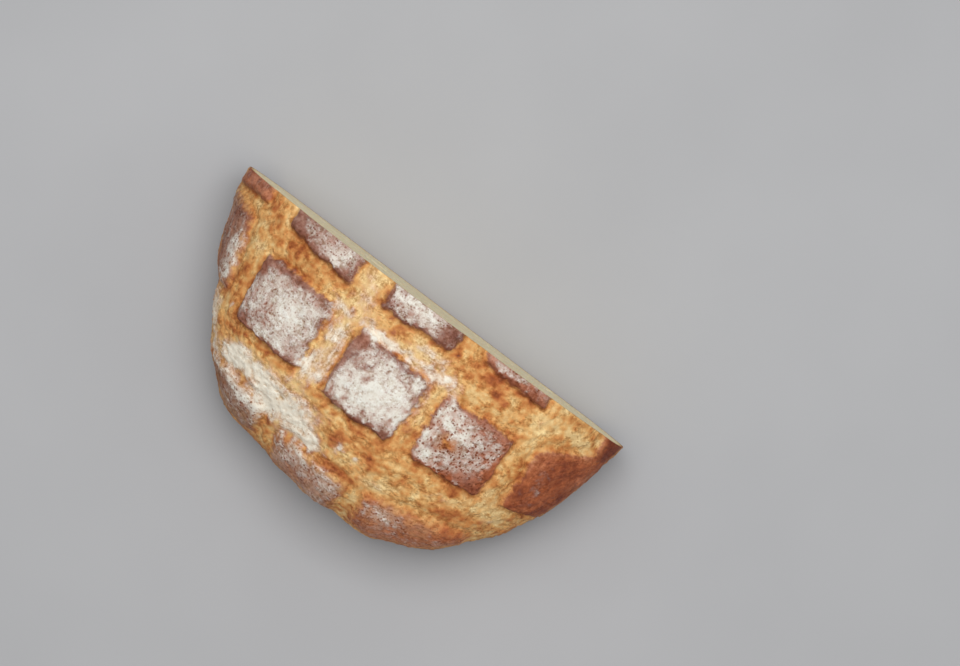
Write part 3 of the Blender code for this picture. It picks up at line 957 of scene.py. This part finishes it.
in_slash = calc("SUBTRACT", 1.0, on_skin)
powder = plus(attribute("flour"), (specks, -0.6))
veil = plus(powder, (shake_broad, 0.4))
dusted = blend(weigh(veil, -0.1, 0.8, 0.0, 0.55), bare, DUST)
grains = plus(powder, (shake, 0.7), (finest_shake, 0.8), (thread_shake, in_slash))
cover = weigh(grains, 0.12, 1.10)
flour_paint = blend(in_slash, FLOUR, WARM_FLOUR)
floured = blend(cover, dusted, flour_paint)

# Smooth plates and rough breaks take turns
rough = weigh(grain(*ROUGH_PLATES), 0.40, 0.60, 0.35, 1.15)
# Painted shade in the hollows and painted highlight on the crests, from the noises of the bumps
painted_relief_light = plus(0.0, (pit_shake, 0.95), (thread_shake, 0.6), (shake, 0.4))
painted_relief_light = times(painted_relief_light, rough)
shade_and_highlight_tint = blend(weigh(painted_relief_light, -0.25, 0.25), HOLLOW_PAINTED_SHADE, CREST_PAINTED_HIGHLIGHT)
shade_and_highlight_tint = blend(times(cover, 0.65), shade_and_highlight_tint, FLOUR_PAINTED_LIGHT)
floured = add("ShaderNodeVectorMath", {0: floured, 1: shade_and_highlight_tint}, operation="MULTIPLY").outputs[0]

# %% Cut ring, shine and bumps
BUMP_HEIGHT = 0.0012

# The ring where the knife went through the crust: brown outside, golden towards the crumb
through = attribute("inside")
cut_paint = ramp(through, ((0.0, RIND_BROWN), (0.18, AMBER), (0.42, TAN), (0.8, CRUMB_GOLD)))
cut_paint = blend(times(low_down, 0.7), cut_paint, BASE_BROWN)
outer = blend(weigh(through, 0.02, 0.14), floured, cut_paint)
tree.links.new(outer, shader.inputs["Base Color"])

dull = clamped(plus(0.50, (cover, 0.25), (fine, 0.25)))
tree.links.new(dull, shader.inputs["Roughness"])
fill(shader, Specular_IOR_Level=0.2)
bumps = plus(0.0, (shake, 0.6), (finest_shake, 0.3), (pit_shake, 1.0), (thread_shake, 1.0))
bumps = times(bumps, times(rough, weigh(cover, 0.0, 1.0, 1.0, 0.6)))
bump = add("ShaderNodeBump", {"Height": bumps, "Strength": 0.7, "Distance": BUMP_HEIGHT})
tree.links.new(bump.outputs["Normal"], shader.inputs["Normal"])
print("nodes in the crust material:", len(tree.nodes))


# %% Crust
def finished_piece(bm, name, finish):
    """An object in the frame's place and metres from a bmesh in loaf millimetres."""
    bmesh.ops.transform(bm, matrix=Matrix.Translation(AXIS) @ Matrix.Scale(MM, 4), verts=bm.verts)
    mesh = mesh_from(bm, name)
    mesh.materials.append(finish)
    return placed(name, mesh)


def report(piece):
    """Prints how many triangles a piece has and whether it is closed."""
    bm = bmesh.new()
    bm.from_mesh(piece.data)
    triangles = sum(len(face.verts) - 2 for face in bm.faces)
    open_edges = sum(1 for edge in bm.edges if not edge.is_manifold)
    bm.free()
    print(piece.name, triangles, "triangles,", open_edges, "open edges")


crust = finished_piece(shell, "crust", crust_finish)
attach(crust, "root")
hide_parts("miche_half")
report(crust)

# %% [markdown]
# The crumb
#
# The crumb fills the shell. Its front is a fine grid that is stretched to the outline of the cut,
# so every hole can be pressed in as a real hollow. The large holes are listed one by one, those of
# the solid among them, and the rest are strewn by a seeded draw that never changes.

# %% Holes in the crumb
# Place along the cut and height, width, height and depth in mm, and turn in degrees
LARGE_HOLES = (
    (41, 55, 25, 10, 9, 8), (44, 12, 11, 6, 6, -25), (-79, 15, 12, 5, 6, 24), (-78, 29, 7, 8, 9, 0),
    (-27, 22, 6, 6, 7, 0), (2, 66, 7, 5, 6, 10), (61, 38, 9, 7, 4, 0), (78, 26, 4, 8, 6, 20),
    (-45, 66, 8, 4, 4, 0), (116, 21, 8, 5, 4, -20),
)
OTHER_HOLES = (
    (-18, 72, 4, 4, 5, 0), (24.4, 54, 4.5, 3.5, 6, 0), (72.6, 57, 3.5, 3.5, 5, 0),
    (0, 91.5, 6, 3.5, 5, 10), (-10, 102, 9, 3.5, 4, -4), (-15, 31, 4.5, 2.7, 5, 15),
    (-7, 23, 3.5, 3.0, 6, 0), (-38, 37, 4.5, 3.4, 5, 30), (-37, 32, 4.2, 4.0, 5, 0),
    (-83, 26, 3.5, 3.5, 6, 0), (-92, 25, 4.5, 4, 6, 0), (-101, 8.5, 4.5, 3, 5, 0),
    (-85, 51, 3, 2.5, 4, 0), (-68, 46, 3, 2.2, 4, 20), (105, 58, 3.4, 2.6, 4, -40),
    (27, 101, 4, 2.2, 4, -8), (-89, 72, 3.6, 2.4, 4, 40), (-84, 82, 3.2, 2, 4, 40),
    (21, 8.6, 3.5, 2.6, 5, 0), (-17.5, 5.6, 3, 2, 4, 0), (-24, 5.4, 2.6, 2, 4, 0),
    (94, 76, 4, 2, 4, -35), (-42, 96, 4, 2, 4, 22), (53, 51, 5, 4, 6, -20), (33, 58, 6, 5, 7, 20),
)
print("holes placed by hand:", len(LARGE_HOLES) + len(OTHER_HOLES))

# %% Holes by a seeded draw
SMALL_HOLES = 26
SMALL_HOLE_SIZES = (3.0, 5.2)
SMALL_HOLE_GAP = 3.0
CRUST_MARGIN = 8.5
SEED = 7
PORES = 1700
PORE_SEED = 21
PORE_LOWEST = 3.5
PORE_MARGIN = 2.5
SMALLEST_PORE = 0.9
PORE_GROWTH = 2.2
# How wide, tall and deep a pore can be, as shares of its size
PORE_SHAPE = ((1.0, 1.6), (0.5, 0.9), (0.5, 1.2))
PORE_SLOPE = 0.8
PORE_TURN = 0.9


def face_top(along):
    """Height of the cut face's upper edge at a place along the cut."""
    side = 1 if along > CROWN_SHIFT else -1
    reach = LOAF_RADIUS + side * (OUTLINE_SHIFT - CROWN_SHIFT)
    share = min(1.0, abs(along - CROWN_SHIFT) / reach)
    return WAIST_HEIGHT + (CROWN_HEIGHT - WAIST_HEIGHT) * math.sqrt(1.0 - share * share)


def listed(holes):
    """Each hole's place, size and turn."""
    return [((x, z), (wide, tall, deep), math.radians(turn)) for x, z, wide, tall, deep, turn in holes]


def solid_holes():
    """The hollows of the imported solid."""
    holes = listed(LARGE_HOLES)
    draw = random.Random(SEED)
    wanted = len(holes) + SMALL_HOLES
    while len(holes) < wanted:
        along = draw.uniform(-LOAF_RADIUS, LOAF_RADIUS) * 0.9
        height = draw.uniform(CRUST_MARGIN, CROWN_HEIGHT)
        wide = draw.uniform(*SMALL_HOLE_SIZES)
        if height > face_top(along) - CRUST_MARGIN:
            continue
        room = [
            math.hypot(along - place[0], height - place[1]) - (max(size) + wide) / 2
            for place, size, _ in holes
        ]
        if min(room) < SMALL_HOLE_GAP:
            continue
        size = (wide, wide * draw.uniform(0.6, 1.0), wide)
        holes.append(((along, height), size, draw.uniform(0, math.pi)))
    return holes


def strewn_pores():
    """Small pores all over the face: many tiny ones, few larger ones."""
    draw = random.Random(PORE_SEED)
    pores = []
    while len(pores) < PORES:
        along = draw.uniform(-LOAF_RADIUS, LOAF_RADIUS)
        height = draw.uniform(PORE_LOWEST, CROWN_HEIGHT)
        if height > face_top(along) - PORE_MARGIN:
            continue
        wide = SMALLEST_PORE + PORE_GROWTH * draw.random() ** 4
        size = tuple(wide * draw.uniform(*shares) for shares in PORE_SHAPE)
        slope = (CROWN_SHIFT - along) / LOAF_RADIUS * PORE_SLOPE
        pores.append(((along, height), size, slope + draw.uniform(-PORE_TURN, PORE_TURN)))
    return pores


holes = solid_holes() + listed(OTHER_HOLES) + strewn_pores()
print("holes in the crumb:", len(holes))

# %% Front of the crumb
FRONT_PANELS = (424, 200)
FRONT_MIDDLE = (12.0, 45.0 - WAIST_HEIGHT)
FRONT_REACH = (127.0, 50.0)


def reach_of_outline(outline, angles):
    """Distance from the face's middle to its outline, in each direction."""
    away = outline - FRONT_MIDDLE
    away = away[np.argsort(np.arctan2(away[:, 1], away[:, 0]))]
    following = np.roll(away, -1, axis=0)
    steps = np.linspace(0, 1, 24, endpoint=False)[None, :, None]
    walk = (away[:, None, :] * (1 - steps) + following[:, None, :] * steps).reshape(-1, 2)
    walk_angles = np.arctan2(walk[:, 1], walk[:, 0])
    order = np.argsort(walk_angles)
    reach = np.hypot(walk[:, 0], walk[:, 1])[order]
    return np.interp(angles, walk_angles[order], reach, period=2 * math.pi)


bm = bmesh.new()
bmesh.ops.create_grid(bm, x_segments=FRONT_PANELS[0], y_segments=FRONT_PANELS[1], size=1.0)
front_mesh = mesh_from(bm, "front")
square_places = places_and_normals(front_mesh)[0]
disc_x = square_places[:, 0] * np.sqrt(1 - square_places[:, 1] ** 2 / 2)
disc_y = square_places[:, 1] * np.sqrt(1 - square_places[:, 0] ** 2 / 2)
oval = np.column_stack((disc_x * FRONT_REACH[0], disc_y * FRONT_REACH[1]))
angles = np.arctan2(oval[:, 1], oval[:, 0])
oval_reach = 1 / np.hypot(np.cos(angles) / FRONT_REACH[0], np.sin(angles) / FRONT_REACH[1])
real_reach = reach_of_outline(crumb_outline, angles)
face_places = oval * (real_reach / oval_reach)[:, None] + FRONT_MIDDLE
from_crust = (1 - np.hypot(disc_x, disc_y)) * real_reach
print("front of the crumb:", len(face_places), "points")

# %% Press the holes in
tree_of_points = kdtree.KDTree(len(face_places))
for number, (x, z) in enumerate(face_places.tolist()):
    tree_of_points.insert((x, z, 0), number)
tree_of_points.balance()

flat_places = np.column_stack((face_places, np.zeros(len(face_places))))
raggedness = 0.30 * hills(flat_places, 2.4, 5.0) + 0.16 * hills(flat_places, 0.9, 9.0)
hollow = np.zeros(len(face_places))
hole_painted_shade = np.zeros(len(face_places))
for (x, z), (wide, tall, deep), turn in holes:
    middle = (x, z - WAIST_HEIGHT)
    found = tree_of_points.find_range((*middle, 0), max(wide, tall) * 0.75)
    near = np.array([number for _, number, _ in found], dtype=int)
    if not len(near):
        continue
    along, across = in_oval(face_places[near], middle, wide / 2, tall / 2, turn)
    reach = np.hypot(along, across) * (1 + raggedness[near])
    pressed = np.sqrt(np.clip(1 - reach**2, 0, 1))
    hollow[near] = np.maximum(hollow[near], pressed * deep / 2)
    across_mean = math.sqrt(wide * tall)
    # Painted shade in the holes: the deeper and narrower a hole, the darker it is painted
    painted_shade_strength = min(1.0, 0.44 * deep / across_mean) * min(1.0, 0.15 + across_mean / 5.5)
    hole_painted_shade[near] = np.maximum(hole_painted_shade[near], pressed * painted_shade_strength)

print("points in holes:", int((hollow > 0).sum()))

# %% Fine grain of the crumb
keep_edge = soft_step(0.0, 2.2, from_crust)
pits = soft_step(0.12, 0.62, hills(flat_places, 1.5, 2.0))
grit = hills(flat_places, 0.8, 6.0)
waves = hills(flat_places, 9.0, 12.0)
hollow = hollow + 0.34 * pits + 0.16 * grit + 0.15 * waves + 0.15
hollow = hollow * keep_edge
strands = hills(flat_places * (1, 1.7, 1), 6.0, 40.0)
store(front_mesh, {
    # Painted shade in the holes and the fine pits
    "hole": np.clip(hole_painted_shade + 0.18 * pits, 0, 1) * keep_edge,
    "rind": np.exp(-np.maximum(from_crust + 0.7 * strands + 0.3 * waves, 0) / 2.2),
    "mottle": 0.5 + 0.4 * strands + 0.2 * waves,
})
point, into_loaf = (np.array(vector) for vector in cut_plane())
up_face = np.array((0, math.sin(CUT_LEAN), math.cos(CUT_LEAN)))
front = point + np.column_stack((face_places[:, 0], np.zeros((len(face_places), 2))))
front = front + face_places[:, 1:] * up_face + hollow[:, None] * into_loaf
set_places(front_mesh, front)
print("deepest hole, mm:", round(hollow.max(), 2))

# %% Body of the crumb
BODY_RINGS = ((1.5, 0.985), (6.0, 0.945), (45.0, 0.80), (90.0, 0.45))

bm = bmesh.new()
bm.from_mesh(front_mesh)
point, into_loaf = cut_plane()
waist_middle = Matrix.Translation(-point)
rim = [edge for edge in bm.edges if edge.is_boundary]
last_deep, last_size = 0.0, 1.0
for deep, size in BODY_RINGS:
    ring, rim = next_ring(bm, rim)
    bmesh.ops.scale(bm, vec=(size / last_size,) * 3, space=waist_middle, verts=ring)
    bmesh.ops.translate(bm, vec=Vector((0, 1, 0)) * (deep - last_deep), verts=ring)
    last_deep, last_size = deep, size
    waist_middle = Matrix.Translation(-(point + Vector((0, deep, 0))))
bmesh.ops.holes_fill(bm, edges=rim, sides=0)
bmesh.ops.recalc_face_normals(bm, faces=bm.faces)
for face in bm.faces:
    face.smooth = True
print("body of the crumb:", len(bm.faces), "faces")

# %% [markdown]
# Crumb material
#
# Crumb is cream, never white: a little yellow in the thin walls, and browner in the last few
# millimetres before the crust. Down in the holes the paint is darker and more golden: painted shade,
# and painted light that bounces from wall to wall. Light also enters it and comes out nearby, so it
# gets a little subsurface scattering.

# %% Crumb material
CRUMB_PALE = paint(237, 225, 191)
CRUMB_SHADE = paint(222, 204, 165)
# Painted shade in the holes, golden where it stands for light bounced between the walls
HOLE_PAINTED_SHADE_GOLD = paint(196, 166, 118)
HOLE_PAINTED_SHADE_BROWN = paint(128, 94, 54)
CRUMB_FINE = (0.7, 3.0, 0.6)
CRUMB_BROAD = (5.0, 2.0, 0.5)
LIGHT_REACH = (0.0018, 0.0012, 0.0006)
CRUMB_BUMP_HEIGHT = 0.0004

crumb_finish, tree, shader = new_material("crumb")
fine = grain(*CRUMB_FINE)
shake_broad = shaken(grain(*CRUMB_BROAD))
tone = plus(attribute("mottle"), (shaken(fine), 1.1), (shake_broad, 0.5))
cream = ramp(tone, ((0.15, CRUMB_PALE), (0.85, CRUMB_SHADE)))
# The stored hole value lays the painted shade into the holes
hole_shade = attribute("hole")
cream = blend(weigh(hole_shade, 0.08, 0.55), cream, HOLE_PAINTED_SHADE_GOLD)
cream = blend(weigh(hole_shade, 0.50, 0.98), cream, HOLE_PAINTED_SHADE_BROWN)
cream = blend(times(attribute("rind"), 0.85), cream, CRUMB_GOLD)
tree.links.new(cream, shader.inputs["Base Color"])
fill(shader, Roughness=0.85, Specular_IOR_Level=0.25)
fill(shader, Subsurface_Weight=0.15, Subsurface_Radius=LIGHT_REACH, Subsurface_Scale=1.0)
bump = add("ShaderNodeBump", {"Height": fine, "Strength": 0.5, "Distance": CRUMB_BUMP_HEIGHT})
tree.links.new(bump.outputs["Normal"], shader.inputs["Normal"])

crumb = finished_piece(bm, "crumb", crumb_finish)
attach(crumb, "root")
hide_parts("miche_half")
report(crumb)

# %% [markdown]
# Spare meshes
#
# The meshes that were only steps on the way to the crust and the crumb are removed.

# %% Spare meshes
for spare in (outside_mesh, inside_mesh, front_mesh):
    bpy.data.meshes.remove(spare)
bpy.context.view_layer.update()
